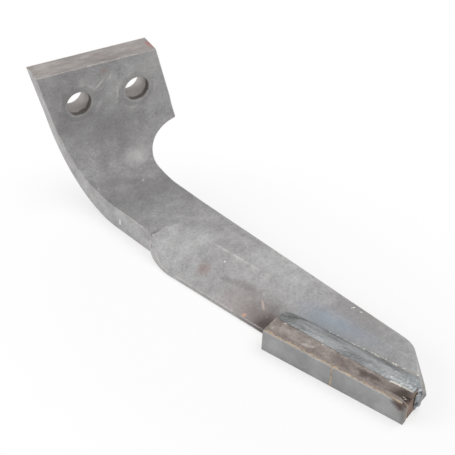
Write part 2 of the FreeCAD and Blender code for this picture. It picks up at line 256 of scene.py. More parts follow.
# %% Forged body: marks round the bolt holes
hole_places = (-20.5, 20.5)
washer_radius = 13.5
bore_radius = 8.5
rough_axes = add(tree, "ShaderNodeSeparateXYZ", None, {0: ragged})
front_face = add(tree, "ShaderNodeMapRange", {"From Min": -15.2 * mm, "From Max": -15.8 * mm},
                 {"Value": axes.outputs["Y"]})
for hole_x in hole_places:
    across = add(tree, "ShaderNodeVectorMath", {"operation": "MULTIPLY_ADD", 1: (1, 0, 1), 2: (-hole_x * mm, 0, 0)},
                 {0: ragged})
    away = add(tree, "ShaderNodeVectorMath", {"operation": "LENGTH"}, {0: across.outputs[0]})
    inside = add(tree, "ShaderNodeMapRange", {"From Min": (washer_radius - 1.4) * mm, "From Max": washer_radius * mm},
                 {"Value": away.outputs["Value"]})
    outside = add(tree, "ShaderNodeMapRange", {"From Min": (washer_radius + 1.4) * mm, "From Max": washer_radius * mm},
                  {"Value": away.outputs["Value"]})
    band = add(tree, "ShaderNodeMath", {"operation": "MULTIPLY"}, {0: inside.outputs[0], 1: outside.outputs[0]})
    broken = add(tree, "ShaderNodeMapRange", {"From Min": 0.42, "From Max": 0.62, "To Max": 0.6},
                 {"Value": blotches.outputs[0]})
    scuffed = add(tree, "ShaderNodeMath", {"operation": "MULTIPLY"}, {0: band.outputs[0], 1: broken.outputs[0]})
    ring = add(tree, "ShaderNodeMath", {"operation": "MULTIPLY"}, {0: scuffed.outputs[0], 1: front_face.outputs[0]})
    seat = add(tree, "ShaderNodeMapRange", {"From Min": (washer_radius + 1.5) * mm, "From Max": washer_radius * mm,
                                            "To Max": 0.25}, {"Value": away.outputs["Value"]})
    rubbed = add(tree, "ShaderNodeMath", {"operation": "MULTIPLY"}, {0: seat.outputs[0], 1: front_face.outputs[0]})
    seat_colour = add(tree, "ShaderNodeMix", {"data_type": "RGBA", 7: hex_colour("#6f6d6e")},
                      {0: rubbed.outputs[0], 6: colour})
    ring_colour = add(tree, "ShaderNodeMix", {"data_type": "RGBA", 7: hex_colour("#c9c6c3")},
                      {0: ring.outputs[0], 6: seat_colour.outputs[2]})
    straight = add(tree, "ShaderNodeVectorMath", {"operation": "MULTIPLY_ADD", 1: (1, 0, 1), 2: (-hole_x * mm, 0, 0)},
                   {0: place})
    off_axis = add(tree, "ShaderNodeVectorMath", {"operation": "LENGTH"}, {0: straight.outputs[0]})
    in_bore = add(tree, "ShaderNodeMapRange", {"From Min": (bore_radius + 0.5) * mm, "From Max": (bore_radius + 0.2) * mm,
                                               "To Max": 0.8}, {"Value": off_axis.outputs["Value"]})
    # Painted light: the bore wall is made lighter, as the light that falls into the hole would make it.
    bore_painted_light = add(tree, "ShaderNodeMix", {"data_type": "RGBA", 7: hex_colour("#b8b1ae")},
                  {0: in_bore.outputs[0], 6: ring_colour.outputs[2]})
    # Painted shadow: the bore's lower right mouth, near the front face, is darkened where shade falls in the hole.
    near_mouth = add(tree, "ShaderNodeMapRange", {"From Min": -11.2 * mm, "From Max": -12.4 * mm}, {"Value": rough_axes.outputs["Y"]})
    lower_right = add(tree, "ShaderNodeVectorMath", {"operation": "DOT_PRODUCT", 1: (0.8, 0, -0.6)}, {0: straight.outputs[0]})
    shaded_side = add(tree, "ShaderNodeMapRange", {"From Min": -2 * mm, "From Max": 2 * mm}, {"Value": lower_right.outputs["Value"]})
    bore_painted_shadow = add(tree, "ShaderNodeMath", {"operation": "MULTIPLY"}, {0: near_mouth.outputs[0], 1: shaded_side.outputs[0]})
    bore_painted_shadow = add(tree, "ShaderNodeMath", {"operation": "MULTIPLY"}, {0: bore_painted_shadow.outputs[0], 1: in_bore.outputs[0]})
    bore_shadowed = add(tree, "ShaderNodeMix", {"data_type": "RGBA", 7: hex_colour("#3d342d")},
                {0: bore_painted_shadow.outputs[0], 6: bore_painted_light.outputs[2]})
    colour = bore_shadowed.outputs[2]

# %% [markdown]
# The sheared top end is browner than the faces, with streaks along the cut, and somebody's red paint
# has rubbed off on one corner. The streaks are noise that is stretched along the cut.

# %% Forged body: the sheared end
cut = add(tree, "ShaderNodeMapRange", {"From Min": 25.9 * mm, "From Max": 26.4 * mm, "To Max": 0.75},
          {"Value": axes.outputs["Z"]})
stretched = add(tree, "ShaderNodeMapping", {"Scale": (0.3, 1, 1)}, {"Vector": place})
streaks = add(tree, "ShaderNodeTexNoise", {"Scale": grain(5), "Detail": 6.0, "Roughness": 0.62}, {"Vector": stretched.outputs[0]})
streak_colour = add(tree, "ShaderNodeValToRGB", None, {"Fac": streaks.outputs[0]})
streak_colour.color_ramp.elements[0].position = 0.35
streak_colour.color_ramp.elements[0].color = hex_colour("#776d6a")
streak_colour.color_ramp.elements[1].position = 0.66
streak_colour.color_ramp.elements[1].color = hex_colour("#a8a09b")
end_colour = add(tree, "ShaderNodeMix", {"data_type": "RGBA"},
                 {0: cut.outputs[0], 6: colour, 7: streak_colour.outputs[0]})
colour, paint = mark(tree, ragged, end_colour.outputs[2], "#a2564c", (33.8, -9.0, 26.5), (2.2, 5, 2.5), strength=0.48)

# %% [markdown]
# The rest of the marks are told one by one: where each is, how big, and its colour. They were read
# off the part, so each has a row in a short list.

# %% Forged body: stains, soot and nicks
body_marks = (
    ("light spot in the bend", "#c4c3c1", (12.6, -28.4, -42.8), (7, 5, 4.8), (0, 0, 20), 0.42, 0.8),
    ("pale cloud by the notch", "#b7b5b4", (22.0, -26.0, -38.0), (7, 8, 12), (0, 0, 0), 0.22, 0.9),
    ("dark cloud under the holes", "#757375", (-8.0, -19.0, -22.0), (30, 8, 12), (0, 8, 0), 0.4, 0.9),
    ("smudge across the bend", "#656264", (0.5, -41.7, -51.5), (17, 2.6, 3), (0, 0, -14), 0.5, 0.7),
    ("dark cloud on the neck", "#807d80", (6.0, -50.0, -54.0), (20, 5, 4), (0, 0, -14), 0.4, 0.9),
    # Painted shade: the crease at the step is darkened where shade falls in it.
    ("painted shade in the crease at the step", "#45403d", (-4.6, -92.4, -55.2), (4.6, 0.75, 1.5), (0, 0, 9), 0.6, 0.6),
    ("nick on the side", "#e6e4e0", (-15.7, -63.5, -64.5), (2, 0.7, 2.4), (0, 0, 0), 0.9, 0.3),
    ("rubbed side", "#c0bebb", (-23.0, -36.0, -60.0), (4, 5, 3), (0, 0, -40), 0.45, 0.8),
    ("scratch between the holes", "#dbd8d4", (-6.0, -16.0, 11.2), (3.8, 1.2, 0.45), (0, -43, 0), 0.7, 0.6),
    ("short scratch", "#d3d0cc", (1.5, -16.0, 15.0), (2.4, 1.2, 0.4), (0, -70, 0), 0.6, 0.6),
    ("washer edge left of the right hole", "#d6d3cf", (6.6, -16.0, 1.0), (0.55, 1.2, 4.5), (0, 4, 0), 0.6, 0.6),
    ("rust fleck on the flange", "#9a8270", (-2.5, -16.0, 20.5), (2.2, 1.2, 2.6), (0, 0, 0), 0.35, 0.8),
    ("brown patch", "#8a6a5b", (9.7, -130.7, -62.5), (4.0, 3.6, 4), (0, 0, 0), 0.4, 0.9),
    ("long dark patch", "#5d5a5a", (24.2, -159.5, -60.8), (7.5, 2.6, 3), (0, 0, -72), 0.5, 0.9),
    ("dark patch above it", "#6a6664", (18.0, -147.5, -61.6), (5.5, 1.6, 3), (0, 0, -60), 0.4, 0.9),
    ("brown cloud before the bar", "#93837c", (15.0, -165.0, -65.0), (14, 12, 9), (0, 0, -25), 0.35, 0.9),
    ("soot halo", "#5d4f49", (21.5, -183.5, -65.5), (12, 10, 9), (0, 0, -25), 0.6, 0.9),
    ("soot", "#3b302c", (20.5, -187.0, -66.5), (8, 5, 6), (0, 0, -25), 0.85, 0.8),
    ("brown end of the blade", "#7b6d63", (76.5, -270.0, -67.5), (6, 9, 4), (0, 0, 24), 0.4, 0.8),
    ("light left end", "#c3bcb6", (-40.9, -3.0, 26.5), (6, 5, 2), (0, 0, 0), 0.35, 0.8),
    ("light speck by the notch", "#cfccc8", (19.0, -20.0, -24.0), (2.2, 2, 2.6), (0, 30, 0), 0.5, 0.7),
    ("worn corner of the flange", "#bdb9b5", (29.0, -16.0, 14.0), (5, 2, 7), (0, 20, 0), 0.25, 0.9),
    ("smudge by the left edge", "#6d6a6c", (-30.0, -16.0, -12.0), (6, 2, 8), (0, 0, 0), 0.3, 0.9),
    # Painted shadow: the groove round the weld's start is darkened where shade falls.
    ("painted shadow in the groove round the weld's start", "#4f4844", (33.5, -199.3, -56.0), (9, 1.4, 3), (0, 0, -32), 0.6, 0.6),
    ("pit at the step", "#6f5348", (-9.0, -95.5, -63.3), (1.6, 1.3, 1.6), (0, 0, 0), 0.7, 0.5),
    ("bare rim round the pit", "#c4c0bb", (-8.4, -95.0, -60.6), (2.4, 1.6, 0.8), (0, 0, 0), 0.5, 0.7),
    ("dark fleck on the flat", "#6b6869", (33.6, -109.8, -55.0), (1.8, 1.3, 1), (0, 0, 0), 0.4, 0.8),
    ("dark fleck by the edge", "#6b6869", (43.1, -120.8, -55.0), (2.2, 1.3, 1), (0, 0, 0), 0.4, 0.8),
    ("copper coloured dot", "#bf9a8b", (13.9, -173.5, -67.3), (1.5, 1.2, 1.7), (0, 0, -30), 0.85, 0.4),
    ("light streak", "#c0aea4", (25.8, -175.4, -62.6), (0.7, 3.6, 3), (0, 0, -22), 0.6, 0.5),
    # Painted shadow: a dark patch beside the weld's start, where its shade falls.
    ("painted shadow by the weld's start", "#4d4641", (27.5, -192.0, -60.0), (6.5, 1.6, 4), (0, 0, -20), 0.6, 0.7),
    ("brown cloud at the tip", "#8d8784", (66.0, -222.0, -55.0), (16, 12, 6), (0, 0, -60), 0.3, 0.9),
)
for name, paint_colour, centre, half_size, turn, strength, soft in body_marks:
    colour, mask = mark(tree, ragged if max(half_size) > 4.7 else place, colour, paint_colour, centre, half_size, turn, strength, soft)
print("marks on the body:", len(body_marks))

# %% [markdown]
# Where tools and stones have knocked the scale, bright flecks show, and dark pits where it is thick.
# Both are the ends of one fine noise: its peaks are flecks and its hollows are pits.

# %% Forged body: flecks and pits
knocks = add(tree, "ShaderNodeTexNoise", {"Scale": grain(2.4), "Detail": 6.0, "Roughness": 0.72}, {"Vector": ragged})
flecks = add(tree, "ShaderNodeMapRange", {"From Min": 0.62, "From Max": 0.7, "To Max": 0.55}, {"Value": knocks.outputs[0]})
pits = add(tree, "ShaderNodeMapRange", {"From Min": 0.4, "From Max": 0.3, "To Max": 0.5}, {"Value": knocks.outputs[0]})
flecked = add(tree, "ShaderNodeMix", {"data_type": "RGBA", 7: hex_colour("#cbc8c4")}, {0: flecks.outputs[0], 6: colour})
pitted = add(tree, "ShaderNodeMix", {"data_type": "RGBA", 7: hex_colour("#5c5a5b")}, {0: pits.outputs[0], 6: flecked.outputs[2]})
colour = pitted.outputs[2]

# %% [markdown]
# The ridge between the flat and the bevel is rubbed bright in dashes. A ridge is a straight line, so
# the mask is the distance to it, broken by noise.

# %% Forged body: the rubbed ridge
ridge_start = (21.6, -116.0, -55.0)
ridge_along = (0.342, -0.940, 0.0)
ridge_across = (0.940, 0.342, 0.0)
off_ridge = add(tree, "ShaderNodeMath", {"operation": "ABSOLUTE"}, {0: distance_along(tree, place, ridge_start, ridge_across)})
on_ridge = add(tree, "ShaderNodeMapRange", {"From Min": 0.8 * mm, "From Max": 0.2 * mm}, {"Value": off_ridge.outputs[0]})
down_ridge = distance_along(tree, place, ridge_start, ridge_along)
ridge_end = add(tree, "ShaderNodeMapRange", {"From Min": 72 * mm, "From Max": 20 * mm, "To Max": 0.6}, {"Value": down_ridge})
ridge_begin = add(tree, "ShaderNodeMapRange", {"From Min": -2 * mm, "From Max": 8 * mm}, {"Value": down_ridge})
rubbing = add(tree, "ShaderNodeMapRange", {"From Min": 0.4, "From Max": 0.6}, {"Value": blotches.outputs[0]})
dashes = add(tree, "ShaderNodeMath", {"operation": "MULTIPLY"}, {0: on_ridge.outputs[0], 1: rubbing.outputs[0]})
dashes = add(tree, "ShaderNodeMath", {"operation": "MULTIPLY"}, {0: dashes.outputs[0], 1: ridge_end.outputs[0]})
dashes = add(tree, "ShaderNodeMath", {"operation": "MULTIPLY"}, {0: dashes.outputs[0], 1: ridge_begin.outputs[0]})
ridge_colour = add(tree, "ShaderNodeMix", {"data_type": "RGBA", 7: hex_colour("#cbc8c3")}, {0: dashes.outputs[0], 6: colour})
colour = ridge_colour.outputs[2]

# %% [markdown]
# The weld has heated the blade beside it until the steel took oxide colours: straw and brown first,
# then blue. The colours follow the distance from the weld's toe, so the tint is a colour ramp over
# that distance, and it fades towards both ends of the weld.

# %% Forged body: heat tint beside the weld
from_tip = distance_along(tree, ragged, tip_corner, tip_inward)
down_tip = distance_along(tree, ragged, tip_corner, tip_along)
heat = add(tree, "ShaderNodeMapRange", {"From Min": 25 * mm, "From Max": 55 * mm}, {"Value": from_tip})
tint = add(tree, "ShaderNodeValToRGB", None, {"Fac": heat.outputs[0]})
for position, colour_text in ((0.0, "#85888b"), (0.12, "#8b949c"), (0.28, "#8b99a8"), (0.5, "#9199a1"), (0.75, "#93969b")):
    stop = tint.color_ramp.elements.new(position)
    stop.color = hex_colour(colour_text)
tint.color_ramp.elements.remove(tint.color_ramp.elements[0])
tint.color_ramp.elements[len(tint.color_ramp.elements) - 1].color = hex_colour("#9b9894")
fade_out = add(tree, "ShaderNodeMapRange", {"interpolation_type": "SMOOTHSTEP", "From Min": 46 * mm, "From Max": 31 * mm, "To Max": 0.6},
               {"Value": from_tip})
fade_start = add(tree, "ShaderNodeMapRange", {"interpolation_type": "SMOOTHSTEP", "From Min": -4 * mm, "From Max": 22 * mm},
                 {"Value": down_tip})
fade_end = add(tree, "ShaderNodeMapRange", {"interpolation_type": "SMOOTHSTEP", "From Min": 72 * mm, "From Max": 24 * mm, "To Min": 0.1},
               {"Value": down_tip})
smoked = add(tree, "ShaderNodeMapRange", {"interpolation_type": "SMOOTHSTEP", "From Max": 70 * mm, "To Min": 1.0, "To Max": 0.82},
             {"Value": down_tip})
smoky = add(tree, "ShaderNodeMix", {"data_type": "RGBA", "blend_type": "MULTIPLY", 0: 1.0}, {6: colour, 7: smoked.outputs[0]})
colour = smoky.outputs[2]
heated = add(tree, "ShaderNodeMath", {"operation": "MULTIPLY"}, {0: fade_out.outputs[0], 1: fade_start.outputs[0]})
heated = add(tree, "ShaderNodeMath", {"operation": "MULTIPLY"}, {0: heated.outputs[0], 1: fade_end.outputs[0]})
tinted = add(tree, "ShaderNodeMix", {"data_type": "RGBA"}, {0: heated.outputs[0], 6: colour, 7: tint.outputs[0]})
colour = tinted.outputs[2]

# %% [markdown]
# Edges that rub lose their scale and shine. The Bevel node compares the real normal with a rounded
# one, so it finds the edges by itself, and its rounded normal takes the hard computer look off them.
# The hammered skin is bump: low dents as wide as a thumb and a grain like coarse paper.

# %% Forged body: edges, dents and gloss
worn, rounded = worn_edges(tree, place, 1.3, 5)
bright = add(tree, "ShaderNodeMix", {"data_type": "RGBA", 7: hex_colour("#c9c7c2")}, {0: worn, 6: colour})
dents = add(tree, "ShaderNodeBump", {"Strength": 0.35, "Distance": 1.2 * mm},
            {"Height": blotches.outputs[0], "Normal": rounded})
skin = add(tree, "ShaderNodeBump", {"Strength": 0.5, "Distance": 0.25 * mm},
           {"Height": specks.outputs[0], "Normal": dents.outputs[0]})
gloss = add(tree, "ShaderNodeMapRange", {"From Min": 0.3, "From Max": 0.7, "To Min": 0.62, "To Max": 0.48},
            {"Value": blotches.outputs[0]})
shader = add(tree, "ShaderNodeBsdfPrincipled", {"Metallic": 0.3},
             {"Base Color": bright.outputs[2], "Roughness": gloss.outputs[0], "Normal": skin.outputs[0]})
add(tree, "ShaderNodeOutputMaterial", None, {"Surface": shader.outputs[0]})
print("forge scale on steel:", len(tree.nodes), "nodes")

# %% [markdown]
# ## The bar
#
# The bar that carries the tiles was heated red for the brazing, so its scale is thicker and browner
# than the body's, with light specks of flux, and the sawn end has rusted orange.

# %% Bar material
bar_material, tree, place, ragged = new_material("brown heat scale on bar steel")
patches = add(tree, "ShaderNodeTexNoise", {"Scale": grain(7), "Detail": 5.0, "Roughness": 0.65}, {"Vector": place})
crumbs = add(tree, "ShaderNodeTexNoise", {"Scale": grain(1.3), "Detail": 4.0, "Roughness": 0.75}, {"Vector": place})
brown = add(tree, "ShaderNodeValToRGB", None, {"Fac": patches.outputs[0]})
brown.color_ramp.elements[0].position = 0.3
brown.color_ramp.elements[0].color = hex_colour("#766b66")
brown.color_ramp.elements[1].position = 0.7
brown.color_ramp.elements[1].color = hex_colour("#a59c97")
crumb_light = add(tree, "ShaderNodeMapRange", {"From Min": 0.3, "From Max": 0.72, "To Min": 0.78, "To Max": 1.3},
                  {"Value": crumbs.outputs[0]})
base = add(tree, "ShaderNodeMix", {"data_type": "RGBA", "blend_type": "MULTIPLY", 0: 1.0},
           {6: brown.outputs[0], 7: crumb_light.outputs[0]})
colour = base.outputs[2]
down_bar = distance_along(tree, ragged, tip_corner, tip_along)
near_end = add(tree, "ShaderNodeMapRange", {"From Min": 92.5 * mm, "From Max": 94.5 * mm, "To Max": 0.85}, {"Value": down_bar})
rust = add(tree, "ShaderNodeValToRGB", None, {"Fac": patches.outputs[0]})
rust.color_ramp.elements[0].position = 0.35
rust.color_ramp.elements[0].color = hex_colour("#7a6355")
rust.color_ramp.elements[1].position = 0.7
rust.color_ramp.elements[1].color = hex_colour("#b59c8a")
rusted = add(tree, "ShaderNodeMix", {"data_type": "RGBA"}, {0: near_end.outputs[0], 6: colour, 7: rust.outputs[0]})
colour, dark = mark(tree, ragged, rusted.outputs[2], "#362b26", (50.8, -279.6, -55.2), (8.5, 6.0, 5.0), strength=0.95)
bar_marks = (
    ("dark line under the weld's edge", "#403733", (45.2, -258.5, -55.0), (1.8, 9, 2), (0, 0, 24.5), 0.7, 0.6),
    ("dark blob", "#4a3c38", (42.0, -257.0, -55.0), (2.4, 2.2, 2), (0, 0, 0), 0.6, 0.5),
    ("dark middle", "#5b4d47", (37.0, -243.0, -55.0), (4, 9, 3), (0, 0, 24.5), 0.45, 0.5),
    ("brown end", "#5b4b43", (46.5, -270.0, -55.0), (6, 10, 3), (0, 0, 24.5), 0.4, 0.8),
    ("flux spots", "#c9c2bc", (26.5, -222.4, -55.0), (3.6, 1.0, 1), (0, 0, -42), 0.5, 0.8),
)
for name, paint_colour, centre, half_size, turn, strength, soft in bar_marks:
    colour, mask = mark(tree, ragged, colour, paint_colour, centre, half_size, turn, strength, soft)
pocks = add(tree, "ShaderNodeMapRange", {"From Min": 0.39, "From Max": 0.32, "To Max": 0.7}, {"Value": crumbs.outputs[0]})
pocked = add(tree, "ShaderNodeMix", {"data_type": "RGBA", 7: hex_colour("#4b403c")}, {0: pocks.outputs[0], 6: colour})
flux = add(tree, "ShaderNodeMapRange", {"From Min": 0.66, "From Max": 0.72, "To Max": 0.7}, {"Value": crumbs.outputs[0]})
fluxed = add(tree, "ShaderNodeMix", {"data_type": "RGBA", 7: hex_colour("#cfc9c3")}, {0: flux.outputs[0], 6: pocked.outputs[2]})
colour = fluxed.outputs[2]
worn, rounded = worn_edges(tree, place, 0.8, 4)
bright = add(tree, "ShaderNodeMix", {"data_type": "RGBA", 7: hex_colour("#b7a89d")}, {0: worn, 6: colour})
crust = add(tree, "ShaderNodeBump", {"Strength": 0.6, "Distance": 0.5 * mm},
            {"Height": crumbs.outputs[0], "Normal": rounded})
shader = add(tree, "ShaderNodeBsdfPrincipled", {"Metallic": 0.2, "Roughness": 0.72},
             {"Base Color": bright.outputs[2], "Normal": crust.outputs[0]})
add(tree, "ShaderNodeOutputMaterial", None, {"Surface": shader.outputs[0]})
print("brown heat scale:", len(tree.nodes), "nodes")

# %% [markdown]
# ## The carbide tiles
#
# Tungsten carbide is pressed powder, sintered hard. It is a dark even grey with hardly any gloss and
# a very fine grain.

# %% Carbide material
carbide_material, tree, place, ragged = new_material("sintered tungsten carbide")
powder = add(tree, "ShaderNodeTexNoise", {"Scale": grain(1.5), "Detail": 5.0, "Roughness": 0.7}, {"Vector": place})
stains = add(tree, "ShaderNodeTexNoise", {"Scale": grain(14), "Detail": 3.0}, {"Vector": place})
grey = add(tree, "ShaderNodeValToRGB", None, {"Fac": stains.outputs[0]})
grey.color_ramp.elements[0].position = 0.3
grey.color_ramp.elements[0].color = hex_colour("#8c8c8c")
grey.color_ramp.elements[1].position = 0.7
grey.color_ramp.elements[1].color = hex_colour("#a6a6a6")
powder_light = add(tree, "ShaderNodeMapRange", {"From Min": 0.3, "From Max": 0.7, "To Min": 0.92, "To Max": 1.08},
                   {"Value": powder.outputs[0]})
base = add(tree, "ShaderNodeMix", {"data_type": "RGBA", "blend_type": "MULTIPLY", 0: 1.0},
           {6: grey.outputs[0], 7: powder_light.outputs[0]})
colour, chipped = mark(tree, ragged, base.outputs[2], "#4f3d34", (49.3, -282.8, -57.0), (5.5, 5.0, 3.6), strength=0.9)
colour, scorched = mark(tree, ragged, colour, "#6e6661", (50.5, -286.0, -63.0), (2.0, 2.5, 8), strength=0.5, soft=0.8)
worn, rounded = worn_edges(tree, place, 0.5, 3)
bright = add(tree, "ShaderNodeMix", {"data_type": "RGBA", 7: hex_colour("#b3aea4")}, {0: worn, 6: colour})
grit = add(tree, "ShaderNodeBump", {"Strength": 0.25, "Distance": 0.15 * mm},
           {"Height": powder.outputs[0], "Normal": rounded})
shader = add(tree, "ShaderNodeBsdfPrincipled", {"Metallic": 0.5, "Roughness": 0.6},
             {"Base Color": bright.outputs[2], "Normal": grit.outputs[0]})
add(tree, "ShaderNodeOutputMaterial", None, {"Surface": shader.outputs[0]})
print("carbide:", len(tree.nodes), "nodes")

# %% [markdown]
# ## The braze
#
# The tiles are held by a brass braze. Where it was squeezed out it dried as a dull golden line, part
# of it burnt brown.

# %% Braze material
braze_material, tree, place, ragged = new_material("brass braze")
burnt = add(tree, "ShaderNodeTexNoise", {"Scale": grain(4), "Detail": 4.0}, {"Vector": place})
gold = add(tree, "ShaderNodeValToRGB", None, {"Fac": burnt.outputs[0]})
gold.color_ramp.elements[0].position = 0.38
gold.color_ramp.elements[0].color = hex_colour("#8c7e72")
gold.color_ramp.elements[1].position = 0.62
gold.color_ramp.elements[1].color = hex_colour("#c5b094")
back_of_face = distance_along(tree, ragged, tip_corner, tip_inward)
burnt_over = add(tree, "ShaderNodeMapRange", {"From Min": 1.5 * mm, "From Max": 1.9 * mm}, {"Value": back_of_face})
top_only = add(tree, "ShaderNodeMapRange", {"From Min": -57.5 * mm, "From Max": -56.6 * mm},
               {"Value": add(tree, "ShaderNodeSeparateXYZ", None, {0: place}).outputs["Z"]})
crusted = add(tree, "ShaderNodeMath", {"operation": "MULTIPLY"}, {0: burnt_over.outputs[0], 1: top_only.outputs[0]})
patches = add(tree, "ShaderNodeTexNoise", {"Scale": grain(7), "Detail": 5.0, "Roughness": 0.65}, {"Vector": place})
crumbs = add(tree, "ShaderNodeTexNoise", {"Scale": grain(1.3), "Detail": 4.0, "Roughness": 0.75}, {"Vector": place})
brown = add(tree, "ShaderNodeMix", {"data_type": "RGBA", 6: hex_colour("#5c514c"), 7: hex_colour("#a0958f")},
            {0: patches.outputs[0]})
crumb_light = add(tree, "ShaderNodeMapRange", {"From Min": 0.3, "From Max": 0.72, "To Min": 0.72, "To Max": 1.3},
                  {"Value": crumbs.outputs[0]})
crust_shade = add(tree, "ShaderNodeMix", {"data_type": "RGBA", "blend_type": "MULTIPLY", 0: 1.0},
                  {6: brown.outputs[2], 7: crumb_light.outputs[0]})
brazed = add(tree, "ShaderNodeMix", {"data_type": "RGBA"},
             {0: crusted.outputs[0], 6: gold.outputs[0], 7: crust_shade.outputs[2]})
bare = add(tree, "ShaderNodeMapRange", {"To Min": 0.6, "To Max": 0.15}, {"Value": crusted.outputs[0]})
lumps = add(tree, "ShaderNodeTexNoise", {"Scale": grain(2), "Detail": 2.0}, {"Vector": place})
puddled = add(tree, "ShaderNodeBump", {"Strength": 0.4, "Distance": 0.3 * mm}, {"Height": lumps.outputs[0]})
shader = add(tree, "ShaderNodeBsdfPrincipled", {"Roughness": 0.5},
             {"Base Color": brazed.outputs[2], "Metallic": bare.outputs[0], "Normal": puddled.outputs[0]})
add(tree, "ShaderNodeOutputMaterial", None, {"Surface": shader.outputs[0]})
print("braze:", len(tree.nodes), "nodes")

# %% [markdown]
# ## The weld
#
# Weld metal freezes smooth and blue grey, shinier than the scale round it. Light glassy slag stays
# along its toe and on the last lump that the welder left at the end of the run.

# %% Weld and slag materials
weld_material, tree, place, ragged = new_material("weld metal")
down_weld = distance_along(tree, ragged, tip_corner, tip_along)
off_toe = distance_along(tree, ragged, tip_corner, tip_inward)
drawn_out = add(tree, "ShaderNodeMath", {"operation": "MULTIPLY", 1: 0.18}, {0: down_weld})
along_run = add(tree, "ShaderNodeCombineXYZ", None, {0: drawn_out.outputs[0], 1: off_toe})
sheen = add(tree, "ShaderNodeTexNoise", {"Scale": grain(4), "Detail": 5.0, "Roughness": 0.6}, {"Vector": along_run.outputs[0]})
blue = add(tree, "ShaderNodeValToRGB", None, {"Fac": sheen.outputs[0]})
blue.color_ramp.elements[0].position = 0.34
blue.color_ramp.elements[0].color = hex_colour("#6a6c6d")
blue.color_ramp.elements[1].position = 0.66
blue.color_ramp.elements[1].color = hex_colour("#a1a3a4")
last_lump = add(tree, "ShaderNodeMapRange", {"From Min": 80 * mm, "From Max": 90 * mm, "To Max": 0.25}, {"Value": down_weld})
pale = add(tree, "ShaderNodeMix", {"data_type": "RGBA", 7: hex_colour("#a3adb3")},
           {0: last_lump.outputs[0], 6: blue.outputs[0]})
first_lump = add(tree, "ShaderNodeMapRange", {"From Min": 16 * mm, "From Max": 2 * mm, "To Max": 0.5}, {"Value": down_weld})
sooty = add(tree, "ShaderNodeMix", {"data_type": "RGBA", 7: hex_colour("#565655")},
            {0: first_lump.outputs[0], 6: pale.outputs[2]})
# Painted shade: a dark band along the weld's inner border, where shade falls in the undercut.
undercut_painted_shade = add(tree, "ShaderNodeMapRange", {"From Min": 24.2 * mm, "From Max": 26.0 * mm, "To Max": 0.7}, {"Value": off_toe})
toe_painted_shade = add(tree, "ShaderNodeMix", {"data_type": "RGBA", 7: hex_colour("#4b4d50")},
               {0: undercut_painted_shade.outputs[0], 6: sooty.outputs[2]})
colour = toe_painted_shade.outputs[2]
weld_marks = (
    ("dark line beside the bar", "#45474a", (46.8, -258.0, -55.0), (1.8, 10, 3), (0, 0, 24.5), 0.7, 0.6),
    ("dark start", "#4b4a49", (27.0, -199.0, -55.0), (5, 4, 4), (0, 0, 0), 0.4, 0.8),
    # Painted shadow: the groove at the weld's start is darkened where shade falls.
    ("painted shadow in the groove at the weld's start", "#413f3e", (34.0, -200.6, -56.0), (9, 1.5, 3), (0, 0, -32), 0.7, 0.6),
    # Painted shadow: the gaps between the weld and the blade's end are darkened where shade falls.
    ("painted shadow in the gap at the blade's end", "#37363a", (64.6, -281.4, -57.0), (1.3, 1.6, 4.0), (0, 0, 0), 0.85, 0.4),
    ("painted shadow in the gap lower down", "#37363a", (60.3, -282.6, -63.4), (1.5, 1.5, 2.0), (0, 0, 0), 0.85, 0.4),
)
for name, paint_colour, centre, half_size, turn, strength, soft in weld_marks:
    colour, mask = mark(tree, ragged, colour, paint_colour, centre, half_size, turn, strength, soft)
pits = add(tree, "ShaderNodeTexNoise", {"Scale": grain(1.6), "Detail": 5.0, "Roughness": 0.7}, {"Vector": place})
dross = add(tree, "ShaderNodeMapRange", {"From Min": 0.55, "From Max": 0.66, "To Max": 0.75}, {"Value": pits.outputs[0]})
rough_end = add(tree, "ShaderNodeMapRange", {"From Min": 60 * mm, "From Max": 85 * mm, "To Min": 0.25}, {"Value": down_weld})
dross = add(tree, "ShaderNodeMath", {"operation": "MULTIPLY"}, {0: dross.outputs[0], 1: rough_end.outputs[0]})
holes = add(tree, "ShaderNodeMapRange", {"From Min": 0.44, "From Max": 0.36, "To Max": 0.7}, {"Value": pits.outputs[0]})
holes = add(tree, "ShaderNodeMath", {"operation": "MULTIPLY"}, {0: holes.outputs[0], 1: rough_end.outputs[0]})
pitted = add(tree, "ShaderNodeMix", {"data_type": "RGBA", 7: hex_colour("#5b5e61")}, {0: holes.outputs[0], 6: colour})
crusty = add(tree, "ShaderNodeMix", {"data_type": "RGBA", 7: hex_colour("#d7dadb")}, {0: dross.outputs[0], 6: pitted.outputs[2]})
frozen = add(tree, "ShaderNodeBump", {"Strength": 0.45, "Distance": 0.4 * mm}, {"Height": pits.outputs[0]})
shader = add(tree, "ShaderNodeBsdfPrincipled", {"Metallic": 0.5, "Roughness": 0.45},
             {"Base Color": crusty.outputs[2], "Normal": frozen.outputs[0]})
add(tree, "ShaderNodeOutputMaterial", None, {"Surface": shader.outputs[0]})

slag_material, tree, place, ragged = new_material("weld slag")
flecks = add(tree, "ShaderNodeTexNoise", {"Scale": grain(3), "Detail": 3.0}, {"Vector": place})
chalk = add(tree, "ShaderNodeValToRGB", None, {"Fac": flecks.outputs[0]})
chalk.color_ramp.elements[0].position = 0.4
chalk.color_ramp.elements[0].color = hex_colour("#a8a49b")
chalk.color_ramp.elements[1].position = 0.6
chalk.color_ramp.elements[1].color = hex_colour("#e6e2d8")
shader = add(tree, "ShaderNodeBsdfPrincipled", {"Roughness": 0.45, "IOR": 1.55}, {"Base Color": chalk.outputs[0]})
add(tree, "ShaderNodeOutputMaterial", None, {"Surface": shader.outputs[0]})
print("weld metal and slag are ready")

